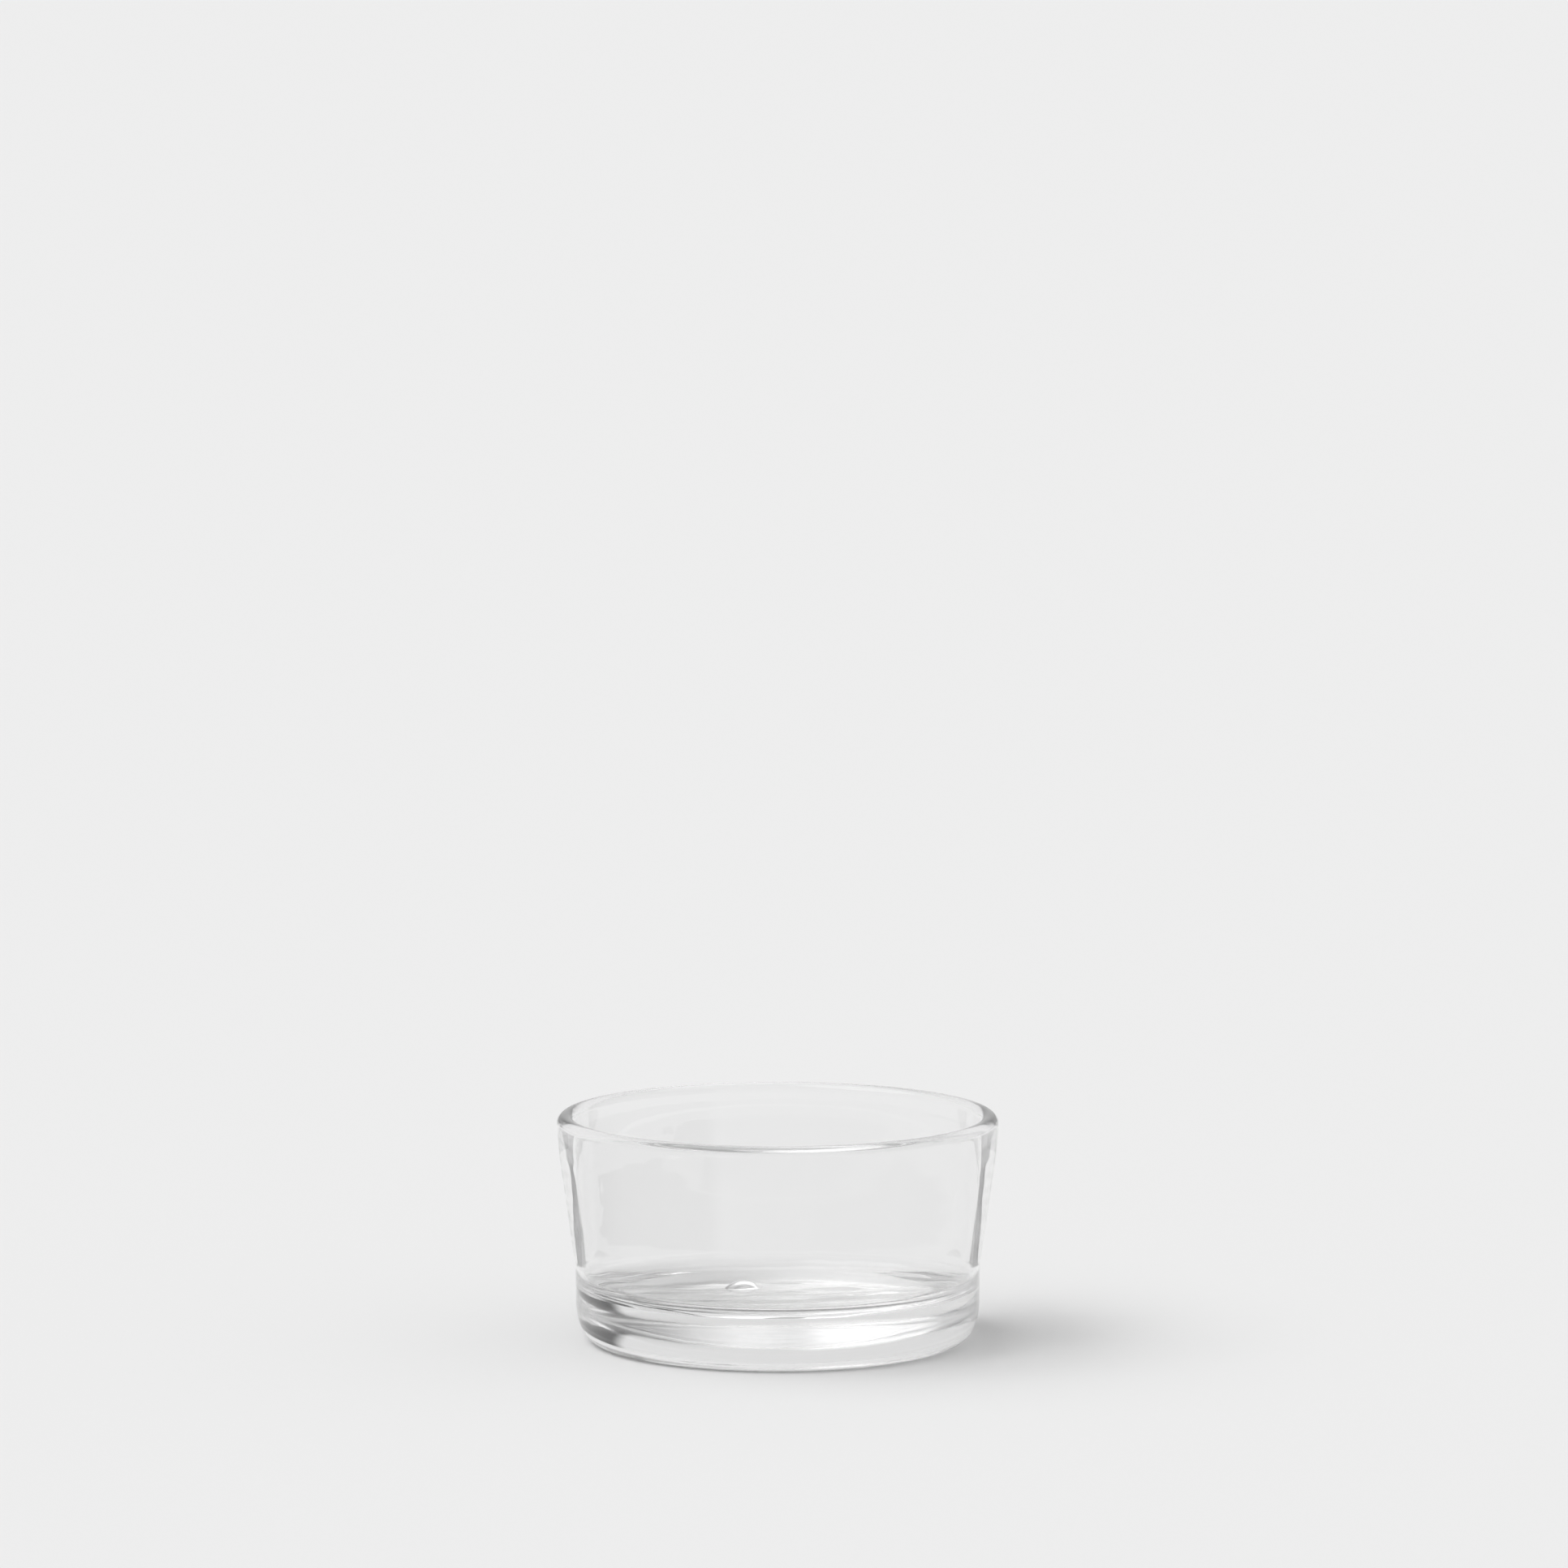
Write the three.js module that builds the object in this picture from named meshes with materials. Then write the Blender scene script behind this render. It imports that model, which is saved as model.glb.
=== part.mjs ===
// Tealight glass: a short, tapered cup pressed in one piece from clear glass, with a thick floor that a
// standard 38 mm tealight stands on. Millimetres, +Z up, the foot resting on z = 0, the axis on x = y = 0.
import * as THREE from "three";

// Driving dimensions of the outside, from the rim down.
const rimDiameter = 55;
const height = 28.5;
const rimThickness = 2.35;
const rimDrop = 1.45; // upright length that leads into the rounded rim
const lipDiameter = 54.36; // top of the tapered wall, just under the rim
const lipHeight = 23.2;
const lipRise = 1.2; // length over which the taper eases towards the upright
const taperFootDiameter = 50.72; // lower end of the tapered wall
const taperFootHeight = 10.3;
const shoulderDiameter = 50.42; // where the tapered wall and the base would meet in a corner
const shoulderHeight = 9.25;
const baseTopDiameter = 50.4; // lower end of the rounded shoulder
const baseTopHeight = 8.2;
const cornerTopDiameter = 50.32; // upper end of the rounded foot
const cornerTopHeight = 4.6;
const cornerSideDiameter = 50; // keeps the rounded foot full, so it turns in late
const cornerSideHeight = 1.3;
const cornerReach = 1.5; // length over which the rounded foot runs out along the table
const footDiameter = 44; // outer edge of the ring that touches the table
const footRingWidth = 3;
const pushUp = 0.15; // how far the underside is hollowed at its middle
const pushUpCrown = 0.6; // share of the hollow's radius that stays nearly flat

// Driving dimensions of the well, from the rim down.
const mouthDrop = 1.725; // length over which the mouth eases into the well's straight wall
const wallTopDiameter = 50.08; // upper end of the well's straight wall
const wallTopHeight = 23.9;
const wellFootDiameter = 48.08; // lower end of the well's straight wall
const wellFootHeight = 8.8;
const coveDrop = 1.3; // length over which the straight wall eases into the cove
const coveDiameter = 44.6; // pulls the cove between the wall and the seat outwards
const coveHeight = 7.1;
const seatRimDiameter = 40; // lower end of the cove
const seatRimHeight = 6.42;
const seatCornerDiameter = 39.2; // where the cove and the flat seat would meet in a corner
const seatDiameter = 38;
const floorHeight = 6.3; // top of the candle seat above the table
const segments = 72;

// Values that follow from them.
const rimRadius = rimDiameter / 2;
const rimHalf = rimThickness / 2;
const rimCentreZ = height - rimHalf;
const lipRadius = lipDiameter / 2;
const taperFootRadius = taperFootDiameter / 2;
const taper = (lipRadius - taperFootRadius) / (lipHeight - taperFootHeight);
const footRadius = footDiameter / 2;
const footInner = footRadius - footRingWidth;
const mouthRadius = rimRadius - rimThickness;
const wallTopRadius = wallTopDiameter / 2;
const wellFootRadius = wellFootDiameter / 2;
const wellDraft = (wallTopRadius - wellFootRadius) / (wallTopHeight - wellFootHeight);

// Half section of the glass, from the middle of the underside round to the middle of the seat.
const section = new THREE.Path();
section.moveTo(0, pushUp);
section.quadraticCurveTo(footInner * pushUpCrown, pushUp, footInner, 0);
section.lineTo(footRadius, 0);
section.bezierCurveTo(
  footRadius + cornerReach, 0,
  cornerSideDiameter / 2, cornerSideHeight,
  cornerTopDiameter / 2, cornerTopHeight,
);
section.lineTo(baseTopDiameter / 2, baseTopHeight);
section.quadraticCurveTo(shoulderDiameter / 2, shoulderHeight, taperFootRadius, taperFootHeight);
section.lineTo(lipRadius, lipHeight);
section.bezierCurveTo(
  lipRadius + taper * lipRise, lipHeight + lipRise,
  rimRadius, rimCentreZ - rimDrop,
  rimRadius, rimCentreZ,
);
section.absarc(rimRadius - rimHalf, rimCentreZ, rimHalf, 0, Math.PI, false);
section.quadraticCurveTo(mouthRadius, rimCentreZ - mouthDrop, wallTopRadius, wallTopHeight);
section.lineTo(wellFootRadius, wellFootHeight);
section.bezierCurveTo(
  wellFootRadius - wellDraft * coveDrop, wellFootHeight - coveDrop,
  coveDiameter / 2, coveHeight,
  seatRimDiameter / 2, seatRimHeight,
);
section.quadraticCurveTo(seatCornerDiameter / 2, floorHeight, seatDiameter / 2, floorHeight);
section.lineTo(0, floorHeight);

const geometry = new THREE.LatheGeometry(section.getPoints(6), segments);
geometry.rotateX(Math.PI / 2);

const glass = new THREE.MeshStandardMaterial({
  color: 0xeef2f1,
  roughness: 0.03,
  metalness: 0,
  transparent: true,
  opacity: 0.35,
});
const cup = new THREE.Mesh(geometry, glass);
cup.name = "glass_cup";

const tealightGlass = new THREE.Group();
tealightGlass.add(cup);

export default tealightGlass;
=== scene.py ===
import math

import bpy
import numpy as np
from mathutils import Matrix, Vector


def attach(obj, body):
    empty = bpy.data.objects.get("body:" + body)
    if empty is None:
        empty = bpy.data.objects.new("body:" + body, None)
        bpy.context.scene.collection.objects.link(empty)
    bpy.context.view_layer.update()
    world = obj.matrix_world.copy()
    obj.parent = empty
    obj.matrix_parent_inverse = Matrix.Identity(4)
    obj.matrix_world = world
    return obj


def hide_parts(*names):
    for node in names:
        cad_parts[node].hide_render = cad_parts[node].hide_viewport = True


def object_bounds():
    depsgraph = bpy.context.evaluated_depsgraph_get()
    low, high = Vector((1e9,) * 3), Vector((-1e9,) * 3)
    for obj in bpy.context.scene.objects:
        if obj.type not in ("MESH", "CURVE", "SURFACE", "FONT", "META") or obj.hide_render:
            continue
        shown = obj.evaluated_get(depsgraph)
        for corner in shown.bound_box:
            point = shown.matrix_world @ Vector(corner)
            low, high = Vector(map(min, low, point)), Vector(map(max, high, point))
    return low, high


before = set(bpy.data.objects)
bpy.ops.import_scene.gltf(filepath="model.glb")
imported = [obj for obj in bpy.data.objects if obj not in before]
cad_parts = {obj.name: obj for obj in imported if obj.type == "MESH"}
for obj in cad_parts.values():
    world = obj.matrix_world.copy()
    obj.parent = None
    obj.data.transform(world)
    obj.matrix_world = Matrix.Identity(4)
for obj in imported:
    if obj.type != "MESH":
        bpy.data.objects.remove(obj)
cad_low, cad_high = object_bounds()

# The glass cup: clear soda-lime glass, pressed in one go between a mould, which forms the outside and the
# rounded foot, and a plunger, which forms the well. The rim was then fire-polished, so it is round and
# smooth, and the cooling glass has drawn faint waves in its thick base and left a lump on its floor.
mm = 0.001
rim_radius = (cad_high.x - cad_low.x) / 2 / mm
glass_height = (cad_high.z - cad_low.z) / mm
rim_half = 1.175
rim_drop = 1.45

# Points of the half section, as (radius, height) in millimetres: the outside from the lip down to the
# middle of the underside, and then the well from the mouth down to the middle of the floor.
lip_ease = (27.35, 24.4)
lip = (27.18, 23.2)
taper_foot = (25.36, 10.3)
shoulder = (25.21, 9.25)
base_top = (25.2, 8.2)
corner_top = (25.16, 4.6)
corner_side = (25.0, 1.3)
corner_under = (23.5, 0)
foot_outer = (22.0, 0)
foot_inner = (19.0, 0)
push_up_crown = (11.4, 0.15)
push_up = (0, 0.15)
mouth_ease = (25.15, 25.6)
wall_top = (25.04, 23.9)
well_foot = (24.04, 8.8)
cove_top = (23.95, 7.5)
cove_low = (22.3, 7.1)
seat_rim = (20.0, 6.42)
seat_corner = (19.6, 6.3)
seat_edge = (19.0, 6.3)
seat_middle = (0, 6.3)
segments = 512
rim_steps = 32


def curve(points, steps):
    """Points along a Bezier curve between its two ends, without the last one."""
    along = np.linspace(0, 1, steps, endpoint=False)[:, None]
    run = [np.array(point, float) for point in points]
    while len(run) > 1:
        run = [a * (1 - along) + b * along for a, b in zip(run, run[1:])]
    return run[0]


rim_centre = np.array((rim_radius - rim_half, glass_height - rim_half))
rim_outside = rim_centre + (rim_half, 0)
rim_inside = rim_centre - (rim_half, 0)
rim_turn = np.linspace(0, math.pi, rim_steps, endpoint=False)
outside = np.concatenate((
    curve((push_up, push_up_crown, foot_inner), steps=24),
    curve((foot_inner, foot_outer), steps=6),
    curve((foot_outer, corner_under, corner_side, corner_top), steps=40),
    curve((corner_top, base_top), steps=16),
    curve((base_top, shoulder, taper_foot), steps=24),
    curve((taper_foot, lip), steps=24),
    curve((lip, lip_ease, rim_outside - (0, rim_drop), rim_outside), steps=16),
    rim_centre + rim_half * np.stack((np.cos(rim_turn), np.sin(rim_turn)), axis=1),
))
well = np.concatenate((
    curve((rim_inside, mouth_ease, wall_top), steps=12),
    curve((wall_top, well_foot), steps=40),
    curve((well_foot, cove_top, cove_low, seat_rim), steps=32),
    curve((seat_rim, seat_corner, seat_edge), steps=10),
    curve((seat_edge, seat_middle), steps=100),
    np.array((seat_middle,)),
))
section = np.concatenate((outside, well))
turn = np.linspace(0, 2 * math.pi, segments, endpoint=False)
ring_radius = np.repeat(section[:, :1], segments, axis=1)
ring_height = np.repeat(section[:, 1:], segments, axis=1)
in_well = np.arange(len(section))[:, None] >= len(outside)

# The cooled glass: the outside of the base runs in and out a little, and the floor is slightly crowned,
# runs up and down, and has one lump near its back. The base's waves are (number round it, depth, start),
# and the floor's are (turn along x, turn along y, depth, start), in millimetres and radians.
base_waves = ((3, 0.03, 0.6), (5, 0.02, 2.2))
base_waves_top = 9
base_waves_ease = 1.5
floor_waves = ((0.45, 0.3, 0.03, 1.0), (0.25, -0.7, 0.03, 0))
floor_waves_edge = 22
floor_waves_ease = 3
crown_height = 0.3
lump_place = (-4.4, 8.0)
lump_radius = 2.4
lump_height = 1.0
base_wave = sum(depth * np.sin(number * turn + start) for number, depth, start in base_waves)
base_share = np.clip(1 - ring_height / base_waves_top, 0, 1)
base_share = base_share * np.clip(ring_height / base_waves_ease, 0, 1)
ring_radius = ring_radius + base_wave * base_share * ~in_well
x = ring_radius * np.cos(turn)
y = ring_radius * np.sin(turn)
floor_wave = sum(depth * np.sin(a * x + b * y + start) for a, b, depth, start in floor_waves)
crown = crown_height * np.clip(1 - (ring_radius / seat_edge[0]) ** 2, 0, 1)
floor_share = np.clip((floor_waves_edge - ring_radius) / floor_waves_ease, 0, 1)
from_lump = np.hypot(x - lump_place[0], y - lump_place[1]) / lump_radius
lump = lump_height * np.clip(1 - from_lump ** 2, 0, 1)
z = ring_height + ((crown + floor_wave) * floor_share + lump) * in_well

rings = np.stack((x, y, z), axis=2) * mm
verts = [rings[0, 0]] + list(rings[1:-1].reshape(-1, 3)) + [rings[-1].mean(axis=0)]
last = len(verts) - 1
faces = []
for k in range(segments):
    n = (k + 1) % segments
    faces.append((0, 1 + n, 1 + k))
    for ring in range(1, last - segments, segments):
        above = ring + segments
        faces.append((ring + k, ring + n, above + n, above + k))
    faces.append((last - segments + k, last - segments + n, last))
mesh = bpy.data.meshes.new("pressed_glass")
mesh.from_pydata(verts, [], faces)
mesh.shade_smooth()
cup = bpy.data.objects.new("pressed_glass", mesh)
bpy.context.scene.collection.objects.link(cup)
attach(cup, "root")
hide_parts("glass_cup")


def put(tree, value, socket):
    """Set a node's socket to a number, or link it to another node's socket."""
    if isinstance(value, bpy.types.NodeSocket):
        tree.links.new(value, socket)
    else:
        socket.default_value = value


def ramp(tree, value, start, end, low=0, high=1):
    """A smooth step of a value, from low at the start to high at the end."""
    node = tree.nodes.new("ShaderNodeMapRange")
    node.interpolation_type = "SMOOTHSTEP"
    node.inputs["From Min"].default_value = start
    node.inputs["From Max"].default_value = end
    node.inputs["To Min"].default_value = low
    node.inputs["To Max"].default_value = high
    put(tree, value, node.inputs["Value"])
    return node.outputs["Result"]


def worked_out(tree, operation, first, second):
    """The product, the larger one, or another plain result of two values."""
    node = tree.nodes.new("ShaderNodeMath")
    node.operation = operation
    put(tree, first, node.inputs[0])
    put(tree, second, node.inputs[1])
    return node.outputs["Value"]


def blend(tree, share, first, second):
    """The first value where the share is 0, and the second where it is 1."""
    node = tree.nodes.new("ShaderNodeMix")
    put(tree, share, node.inputs["Factor"])
    put(tree, first, node.inputs["A"])
    put(tree, second, node.inputs["B"])
    return node.outputs["Result"]


def grain(tree, place, scale, detail):
    """Noise between 0 and 1, with so many grains to a metre."""
    node = tree.nodes.new("ShaderNodeTexNoise")
    node.inputs["Scale"].default_value = scale
    node.inputs["Detail"].default_value = detail
    tree.links.new(place, node.inputs["Vector"])
    return node.outputs["Fac"]


def bumps(tree, relief, depth):
    """The normal of a surface whose relief is so many metres deep."""
    node = tree.nodes.new("ShaderNodeBump")
    node.inputs["Distance"].default_value = depth
    tree.links.new(relief, node.inputs["Height"])
    return node.outputs["Normal"]


# Its surface is clear and fire-polished, with faint waves from the mould. Only the turn of the foot is
# dulled, in patches, from standing on tables.
glass_tint = (0.98, 0.98, 0.98, 1)
soda_lime_ior = 1.52
glass_wave_pitch = 5 * mm
glass_wave_depth = 0.02 * mm
dulled = 0.15
dulled_edge = (1.0 * mm, 2.2 * mm)
underside_top = 0.16 * mm
scuff_pitch = 2 * mm
scuff_grain = (0.3, 0.7)
scuff_share = (0.8, 1.2)
glass = bpy.data.materials.new("clear_glass")
glass.use_nodes = True
glass_tree = glass.node_tree
clear_glass = glass_tree.nodes["Principled BSDF"]
clear_glass.inputs["Base Color"].default_value = glass_tint
clear_glass.inputs["IOR"].default_value = soda_lime_ior
clear_glass.inputs["Transmission Weight"].default_value = 1
place = glass_tree.nodes.new("ShaderNodeNewGeometry").outputs["Position"]
part_place = glass_tree.nodes.new("ShaderNodeSeparateXYZ")
glass_tree.links.new(place, part_place.inputs["Vector"])
to_right, to_back, up = part_place.outputs
turned_foot = worked_out(glass_tree, "GREATER_THAN", up, underside_top)
foot_dull = ramp(glass_tree, up, *dulled_edge, dulled, 0)
scuffs = grain(glass_tree, place, 1 / scuff_pitch, detail=2)
scuffs = ramp(glass_tree, scuffs, *scuff_grain, *scuff_share)
foot_dull = worked_out(glass_tree, "MULTIPLY", foot_dull, scuffs)
foot_dull = worked_out(glass_tree, "MULTIPLY", foot_dull, turned_foot)
glass_tree.links.new(foot_dull, clear_glass.inputs["Roughness"])
glass_waves = grain(glass_tree, place, 1 / glass_wave_pitch, detail=1)
glass_tree.links.new(bumps(glass_tree, glass_waves, glass_wave_depth), clear_glass.inputs["Normal"])

# Its shadow: a tint that the lamps' light takes through the glass, for shadow rays only. The glass lets
# less light by the more it is grazed. Under the base, light and shade are painted by position, not traced:
# painted light most at the front and in a bright patch at its back right, and painted shade at its back
# left and where it touches the table. Lights are shares of what the lamps give, and an edge is where one
# fades into another.
shade_facing = 0.67
shade_grazed = 0.1
grazed_from = 0.2
grazed_to = 0.95
middle_light = 1.6
middle_edge = (8 * mm, 13 * mm)
base_light = 2.9
front_light = 1.6
front_edge = (-4 * mm, -10 * mm)
touch_light = 0.4
touch_edge = (19 * mm, 21 * mm)
patch_light = 2.4
patch_front = (2 * mm, 12 * mm)
patch_left = (-10 * mm, 2 * mm)
patch_right = (16 * mm, 23 * mm)
right_edge = (8 * mm, 15 * mm)
right_light = 0.75
clear_left = (-16 * mm, -8 * mm)
left_light = 1.0
left_edge = (-18 * mm, -14 * mm)
foot_edge = (22 * mm, 23.5 * mm)
spill = 0.6
foot_top = 5 * mm
grazing = glass_tree.nodes.new("ShaderNodeLayerWeight")
shade = glass_tree.nodes.new("ShaderNodeMapRange")
shade.inputs["From Min"].default_value = grazed_from
shade.inputs["From Max"].default_value = grazed_to
shade.inputs["To Min"].default_value = shade_facing
shade.inputs["To Max"].default_value = shade_grazed
glass_tree.links.new(grazing.outputs["Facing"], shade.inputs["Value"])
level_place = glass_tree.nodes.new("ShaderNodeVectorMath")
level_place.operation = "MULTIPLY"
level_place.inputs[1].default_value = (1, 1, 0)
glass_tree.links.new(place, level_place.inputs[0])
from_axis = glass_tree.nodes.new("ShaderNodeVectorMath")
from_axis.operation = "LENGTH"
glass_tree.links.new(level_place.outputs["Vector"], from_axis.inputs[0])
outward = from_axis.outputs["Value"]
# Painted light under the base, set by position: stronger outward from the middle and at the front, with
# painted shade where the foot touches the table.
painted_base_light = worked_out(
    glass_tree, "MULTIPLY",
    ramp(glass_tree, outward, *middle_edge, middle_light, base_light),
    ramp(glass_tree, to_back, *front_edge, 1, front_light),
)
painted_base_light = blend(glass_tree, ramp(glass_tree, outward, *touch_edge), painted_base_light, touch_light)
# Painted light in a bright patch at the back right, and painted shade at the back left. It fades to a
# weaker spill at the foot's edge.
patch = worked_out(
    glass_tree, "MAXIMUM",
    ramp(glass_tree, to_right, *patch_left, 0, patch_light),
    ramp(glass_tree, to_right, *left_edge, left_light, 0),
)
patch = worked_out(glass_tree, "MULTIPLY", patch, ramp(glass_tree, to_right, *right_edge, 1, right_light))
patch = worked_out(glass_tree, "MULTIPLY", patch, ramp(glass_tree, outward, *foot_edge, 1, spill))
patch_share = worked_out(
    glass_tree, "MULTIPLY",
    ramp(glass_tree, to_back, *patch_front), ramp(glass_tree, to_right, *patch_right, 1, 0),
)
# Where the painted patch lies, the grazing shade is dropped, which paints the lamp light passing there
# brighter.
painted_unshaded_share = worked_out(glass_tree, "MULTIPLY", patch_share, ramp(glass_tree, to_right, *clear_left))
# The painted light and shade go only on surfaces below the foot's top, so they fall on the table under the
# base.
painted_under_light = blend(
    glass_tree, worked_out(glass_tree, "LESS_THAN", up, foot_top),
    1, blend(glass_tree, patch_share, painted_base_light, patch),
)
painted_shadow_tint = blend(glass_tree, painted_unshaded_share, shade.outputs["Result"], 1)
let_by = glass_tree.nodes.new("ShaderNodeBsdfTransparent")
glass_tree.links.new(worked_out(glass_tree, "MULTIPLY", painted_shadow_tint, painted_under_light), let_by.inputs["Color"])
light_path = glass_tree.nodes.new("ShaderNodeLightPath")
seen_or_shading = glass_tree.nodes.new("ShaderNodeMixShader")
glass_tree.links.new(light_path.outputs["Is Shadow Ray"], seen_or_shading.inputs["Fac"])
glass_tree.links.new(clear_glass.outputs["BSDF"], seen_or_shading.inputs[1])
glass_tree.links.new(let_by.outputs["BSDF"], seen_or_shading.inputs[2])
glass_surface = glass_tree.nodes["Material Output"].inputs["Surface"]
glass_tree.links.new(seen_or_shading.outputs["Shader"], glass_surface)
mesh.materials.append(glass)

# Light is turned back many times inside the thick base and the rim before it leaves them.
bounces = bpy.context.scene.cycles
bounces.max_bounces = 40
bounces.glossy_bounces = 32
bounces.transmission_bounces = 32

# The table: a seamless sweep of pale, matt paper with a fine tooth. It runs on past the picture's top edge,
# so it is also the backdrop. It lies just under the foot, so the two don't touch in one plane.
sweep_size = 60
sweep_gap = 0.05 * mm
paper_grain_pitch = 0.8 * mm
paper_grain_depth = 0.01 * mm
paper_dark = 0.795
paper_pale = 0.805
bpy.ops.mesh.primitive_plane_add(size=sweep_size, location=(0, 0, cad_low.z - sweep_gap))
sweep = bpy.context.object
sweep.name = "sweep"
paper = bpy.data.materials.new("sweep_paper")
paper.use_nodes = True
paper_tree = paper.node_tree
matt_paper = paper_tree.nodes["Principled BSDF"]
matt_paper.inputs["Roughness"].default_value = 1
matt_paper.inputs["Specular IOR Level"].default_value = 0
paper_place = paper_tree.nodes.new("ShaderNodeTexCoord").outputs["Object"]
tooth = grain(paper_tree, paper_place, 1 / paper_grain_pitch, detail=3)
paper_tree.links.new(blend(paper_tree, tooth, paper_dark, paper_pale), matt_paper.inputs["Base Color"])
paper_tree.links.new(bumps(paper_tree, tooth, paper_grain_depth), matt_paper.inputs["Normal"])
sweep.data.materials.append(paper)

# The key light: three large, soft lamps high up, in an arc from the left round towards the front. What the
# glass shows of them is their cloth, a bright card of the studio below, so the lamps don't show there.
key_softness = math.radians(40)
key_tilt = math.radians(42)
keys = ((-108, 0.6), (-68, 0.89), (-30, 0.9))
for key_bearing, key_energy in keys:
    key = bpy.data.objects.new("key", bpy.data.lights.new("key", "SUN"))
    key.data.energy = key_energy
    key.data.angle = key_softness
    key.rotation_euler = (key_tilt, 0, math.radians(key_bearing))
    key.visible_glossy = False
    key.visible_transmission = False
    key.data.cycles.use_multiple_importance_sampling = False
    bpy.context.scene.collection.objects.link(key)

# The studio: an even, pale room. In the glass it shows as a pale backdrop with a dim gap near its foot, a
# dark side on the right, and three cards: a dim one at the front left, the lamps' bright cloth on the left,
# and one overhead at the back.
room_level = 0.5
picture_level = 0.855
# The backdrop's levels are (elevation, level), and its dark side runs between bearings. A card is (bearing,
# elevation, reach, softness, level). Angles are in degrees.
backdrop_levels = ((0.3, 0.855), (0.8, 0.3), (1.5, 0.3), (2.2, 0.74))
dark_level = 0.05
dark_start = (38, 46)
dark_end = (138, 150)
dark_top = (50, 78)
cards = ((-150, 20, 60, 30, 0.52), (-97, 60, 23, 10, 2.0), (8, 62, 12, 8, 1.5))
studio = bpy.data.worlds.new("studio")
studio.use_nodes = True
bpy.context.scene.world = studio
room = studio.node_tree
ray = room.nodes.new("ShaderNodeLightPath")
direction = room.nodes.new("ShaderNodeTexCoord").outputs["Generated"]
part_direction = room.nodes.new("ShaderNodeSeparateXYZ")
room.links.new(direction, part_direction.inputs["Vector"])
rise = part_direction.outputs["Z"]
bearing = worked_out(room, "ARCTAN2", part_direction.outputs["X"], part_direction.outputs["Y"])
backdrop = room.nodes.new("ShaderNodeValToRGB")
while len(backdrop.color_ramp.elements) < len(backdrop_levels):
    backdrop.color_ramp.elements.new(1)
for element, (elevation, grey) in zip(backdrop.color_ramp.elements, backdrop_levels):
    element.position = math.sin(math.radians(elevation))
    element.color = (grey, grey, grey, 1)
room.links.new(rise, backdrop.inputs["Fac"])
dark_share = worked_out(
    room, "MULTIPLY",
    ramp(room, bearing, math.radians(dark_start[0]), math.radians(dark_start[1])),
    ramp(room, bearing, math.radians(dark_end[0]), math.radians(dark_end[1]), 1, 0),
)
dark_rise = [math.sin(math.radians(elevation)) for elevation in dark_top]
below_top = ramp(room, rise, *dark_rise, 1, 0)
dark_share = worked_out(room, "MULTIPLY", dark_share, below_top)
level = blend(room, dark_share, backdrop.outputs["Color"], dark_level)
for card_bearing, card_elevation, reach, softness, card_level in cards:
    round_angle = math.radians(card_bearing)
    up_angle = math.radians(card_elevation)
    toward = room.nodes.new("ShaderNodeVectorMath")
    toward.operation = "DOT_PRODUCT"
    toward.inputs[1].default_value = (
        math.sin(round_angle) * math.cos(up_angle),
        math.cos(round_angle) * math.cos(up_angle),
        math.sin(up_angle),
    )
    room.links.new(direction, toward.inputs[0])
    outer = math.cos(math.radians(reach + softness / 2))
    inner = math.cos(math.radians(reach - softness / 2))
    level = blend(room, ramp(room, toward.outputs["Value"], outer, inner), level, card_level)
in_glass = worked_out(room, "MAXIMUM", ray.outputs["Is Glossy Ray"], ray.outputs["Is Transmission Ray"])
level = blend(room, in_glass, room_level, level)
level = blend(room, ray.outputs["Is Camera Ray"], level, picture_level)
room.links.new(level, room.nodes["Background"].inputs["Color"])

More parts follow.
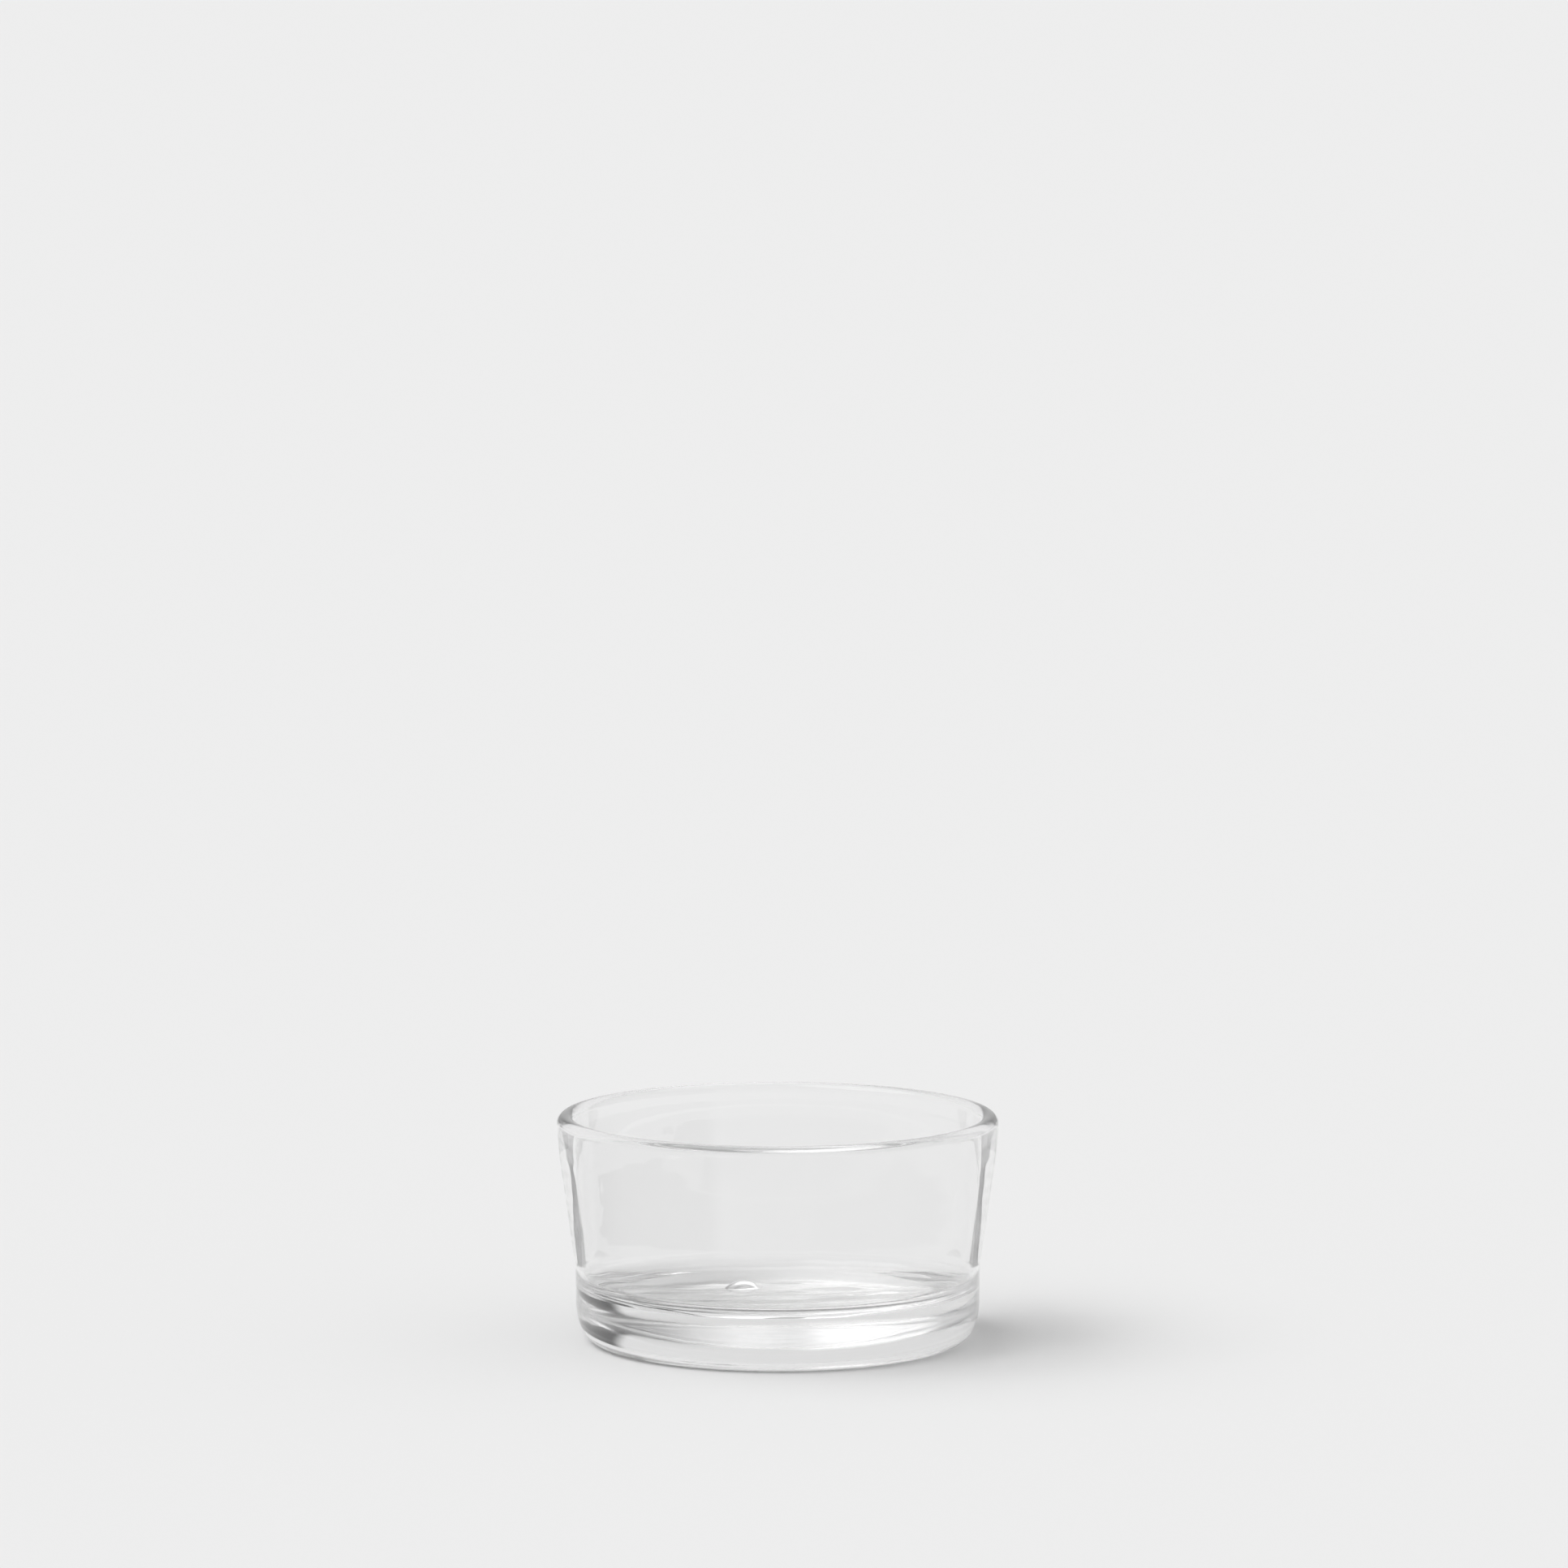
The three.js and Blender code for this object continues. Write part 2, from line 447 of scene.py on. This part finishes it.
# The flags: low, dark rails that stand on the table beyond the picture, a set to each side that narrows
# away from the glass. They show only in it, where its walls turn the view sideways and almost level, and
# draw the dark lines down its sides. Their sizes are in millimetres, and their bearings in degrees.
rail_grey = (0.05, 0.05, 0.05, 1)
rail_count = 130
rail_height = 0.105
rail_corners = 4
nearest = 138
nearest_bearings = (22, 48)
farthest = 400
farthest_bearings = (35, 37.5)
rail_card = bpy.data.materials.new("rail_card")
rail_card.use_nodes = True
rail_tree = rail_card.node_tree
dim_card = rail_tree.nodes.new("ShaderNodeEmission")
dim_card.inputs["Color"].default_value = rail_grey
rail_tree.links.new(dim_card.outputs["Emission"], rail_tree.nodes["Material Output"].inputs["Surface"])
for side in (-1, 1):
    corners = []
    for share in np.linspace(0, 1, rail_count):
        distance = nearest + (farthest - nearest) * share
        for near_bearing, far_bearing in zip(nearest_bearings, farthest_bearings):
            rail_turn = math.radians(side * (near_bearing + (far_bearing - near_bearing) * share))
            for corner_height in (0, rail_height):
                corner = (distance * math.sin(rail_turn), distance * math.cos(rail_turn), corner_height)
                corners.append(np.array(corner) * mm)
    rail_mesh = bpy.data.meshes.new("rails")
    rails = [(k, k + 1, k + 3, k + 2) for k in range(0, len(corners), rail_corners)]
    rail_mesh.from_pydata(corners, [], rails)
    rail_mesh.materials.append(rail_card)
    rail_row = bpy.data.objects.new("rails", rail_mesh)
    bpy.context.scene.collection.objects.link(rail_row)
    rail_row.visible_camera = False
    rail_row.visible_diffuse = False
    rail_row.visible_shadow = False

# The camera: a long lens a good metre away, looking a little down, with the glass low in the picture.
camera_distance = 1.1
camera_side = 0.0008
look_down = math.radians(9.5)
sensor_mm = 36
picture_px = 1932
px_per_metre = 9870
glass_below_px = 545
camera = bpy.data.objects.new("camera", bpy.data.cameras.new("camera"))
bpy.context.scene.collection.objects.link(camera)
bpy.context.scene.camera = camera
camera.data.sensor_width = sensor_mm
camera.data.lens = px_per_metre * camera_distance / picture_px * sensor_mm
glass_below = math.atan(glass_below_px / (px_per_metre * camera_distance))
camera.location = (
    camera_side,
    -camera_distance * math.cos(look_down),
    (cad_low.z + cad_high.z) / 2 + camera_distance * math.sin(look_down),
)
camera.rotation_euler = (math.pi / 2 - look_down + glass_below, 0, 0)
bpy.context.scene.view_settings.view_transform = "Standard"
